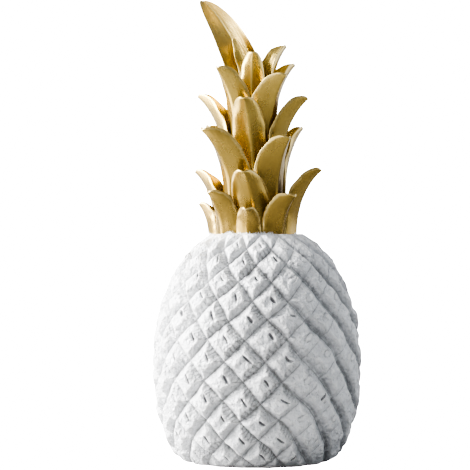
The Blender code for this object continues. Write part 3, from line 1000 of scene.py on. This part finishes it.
class PINEAPPLE_OT_body(bpy.types.Operator):
    """Build the carved white body"""

    bl_idname = "pineapple.body"
    bl_label = "Carved body"

    def execute(self, context):
        sizes = context.scene.pineapple_body
        points, masks = body_surface(sizes)
        rows, columns = points.shape[:2]
        faces = body_faces(rows, columns)
        ends = np.array([[0.0, 0.0, points[end, :, 2].mean()] for end in (0, -1)])
        points = np.concatenate([points.reshape(-1, 3), ends])
        place = body_lattice(faces, rows, columns)
        masks = {name: np.append(values.ravel(), [0.0, 0.0]) for name, values in masks.items()}
        material = white_paint_material(context.scene.pineapple_finish, sizes)
        piece = mesh_object("carved_body", points, faces, place, masks, material)
        kept_as_casting(piece)
        return {"FINISHED"}


class PINEAPPLE_OT_crown(bpy.types.Operator):
    """Build the gold crown: its column and all its leaves"""

    bl_idname = "pineapple.crown"
    bl_label = "Leaf crown"

    def execute(self, context):
        sizes = context.scene.pineapple_crown
        random = np.random.default_rng(sizes.seed)
        surfaces = [core_surface()] + [leaf_surface(leaf, sizes, random) for leaf in LEAVES]
        grids, places, all_masks = zip(*surfaces)
        starts = np.cumsum([0] + [grid.shape[0] * grid.shape[1] for grid in grids])
        faces = np.concatenate([ring_faces(*grid.shape[:2], start) for grid, start in zip(grids, starts)])
        points = np.concatenate([grid.reshape(-1, 3) for grid in grids])
        place = np.concatenate([each.reshape(-1, 2) for each in places])[faces.ravel()]
        masks = {name: np.concatenate([each[name].ravel() for each in all_masks]) for name in all_masks[0]}
        material = gold_paint_material(context.scene.pineapple_finish)
        piece = mesh_object("leaf_crown", points, faces, place, masks, material)
        kept_as_casting(piece)
        return {"FINISHED"}


def aimed(thing, target):
    thing.rotation_euler = (Vector(target) - thing.location).to_track_quat("-Z", "Y").to_euler()


def area_light(name, power, location, target, width, height, colour):
    """A soft rectangular lamp that lights the figurine and isn't seen by the camera."""
    light = bpy.data.lights.new(name, "AREA")
    light.shape = "RECTANGLE"
    light.size = width
    light.size_y = height
    light.energy = power
    light.color = colour
    lamp = bpy.data.objects.new(name, light)
    bpy.context.scene.collection.objects.link(lamp)
    lamp.location = location
    lamp.visible_camera = False
    aimed(lamp, target)


def studio_sweep(settings):
    """The floor: a strip that runs level, then up a quarter circle, then straight up."""
    bend = np.linspace(0.0, np.pi / 2.0, SWEEP_BEND_STEPS)
    bent_y = SWEEP_BEND_START + SWEEP_BEND_RADIUS * np.sin(bend)
    bent_z = SWEEP_BEND_RADIUS - SWEEP_BEND_RADIUS * np.cos(bend)
    profile_y = np.concatenate([[SWEEP_FRONT], bent_y, [SWEEP_BEND_START + SWEEP_BEND_RADIUS]])
    profile_z = np.concatenate([[0.0], bent_z, [SWEEP_HEIGHT]])
    across = np.array([-SWEEP_HALF_WIDTH, SWEEP_HALF_WIDTH])
    points = np.stack(np.broadcast_arrays(across[None, :], profile_y[:, None], profile_z[:, None]), axis=2)
    row = np.arange(len(profile_y) - 1) * 2
    first = np.stack([row, row + 1, row + 3], axis=1)
    second = np.stack([row, row + 3, row + 2], axis=1)
    faces = np.concatenate([first, second])
    place = points[..., :2].reshape(-1, 2)[faces.ravel()]
    return mesh_object("studio_sweep", points.reshape(-1, 3), faces, place, {}, sweep_material(settings))


def studio_air(settings):
    """The light all round, which is white where the camera sees past the backdrop."""
    world = bpy.data.worlds.new("studio_air")
    world.use_nodes = True
    nodes = Nodes(world.node_tree)
    seen = nodes.add("ShaderNodeLightPath").outputs["Is Camera Ray"]
    strength = nodes.ranged(seen, (0.0, 1.0), (settings.ambient, settings.beyond))
    nodes.feed_all(world.node_tree.nodes["Background"], color=settings.air, strength=strength)
    return world


def photo_camera(scene):
    """The camera in front, level, at the photograph's angle and scale."""
    camera = bpy.data.cameras.new("photo_camera")
    holder = bpy.data.objects.new("photo_camera", camera)
    scene.collection.objects.link(holder)
    camera.sensor_width = SENSOR_WIDTH
    camera.lens = SENSOR_WIDTH / FRAME_PIXELS * CAMERA_DISTANCE / METRES_PER_PIXEL
    camera.clip_start = 0.01
    holder.location = Vector(CAMERA_TARGET) + Vector((0.0, -CAMERA_DISTANCE, 0.0))
    aimed(holder, CAMERA_TARGET)
    return holder


class PINEAPPLE_OT_stage(bpy.types.Operator):
    """Build the floor, the lights and the camera"""

    bl_idname = "pineapple.stage"
    bl_label = "Studio"

    def execute(self, context):
        scene = context.scene
        settings = scene.pineapple_stage
        floor = studio_sweep(settings)
        for name, power, *setting in LAMPS:
            area_light(name, getattr(settings, power), *setting)
        scene.world = studio_air(settings)
        scene.camera = photo_camera(scene)
        scene.view_settings.view_transform = "AgX"
        scene.view_settings.look = "AgX - High Contrast"
        return {"FINISHED"}


class PINEAPPLE_PT_panel(bpy.types.Panel):
    """Sizes, colours and the steps that build the figurine"""

    bl_idname = "PINEAPPLE_PT_panel"
    bl_label = "Pineapple figurine"
    bl_space_type = "VIEW_3D"
    bl_region_type = "UI"
    bl_category = "Pineapple"

    def draw(self, context):
        scene = context.scene
        for settings, operator in (
            (scene.pineapple_body, "pineapple.body"),
            (scene.pineapple_crown, "pineapple.crown"),
            (scene.pineapple_finish, None),
            (scene.pineapple_stage, "pineapple.stage"),
        ):
            box = self.layout.box()
            for name in settings.__annotations__:
                box.prop(settings, name)
            if operator:
                box.operator(operator)


SETTINGS = {
    "pineapple_body": PineappleBodySettings,
    "pineapple_crown": PineappleCrownSettings,
    "pineapple_finish": PineappleFinishSettings,
    "pineapple_stage": PineappleStageSettings,
}
CLASSES = (*SETTINGS.values(), PINEAPPLE_OT_body, PINEAPPLE_OT_crown, PINEAPPLE_OT_stage, PINEAPPLE_PT_panel)


def register():
    for each in CLASSES:
        bpy.utils.register_class(each)
    for name, kind in SETTINGS.items():
        setattr(bpy.types.Scene, name, bpy.props.PointerProperty(type=kind))


def unregister():
    for name in SETTINGS:
        delattr(bpy.types.Scene, name)
    for each in reversed(CLASSES):
        bpy.utils.unregister_class(each)


def main():
    register()
    bpy.ops.pineapple.body()
    bpy.ops.pineapple.crown()
    bpy.ops.pineapple.stage()


if __name__ == "__main__":
    main()
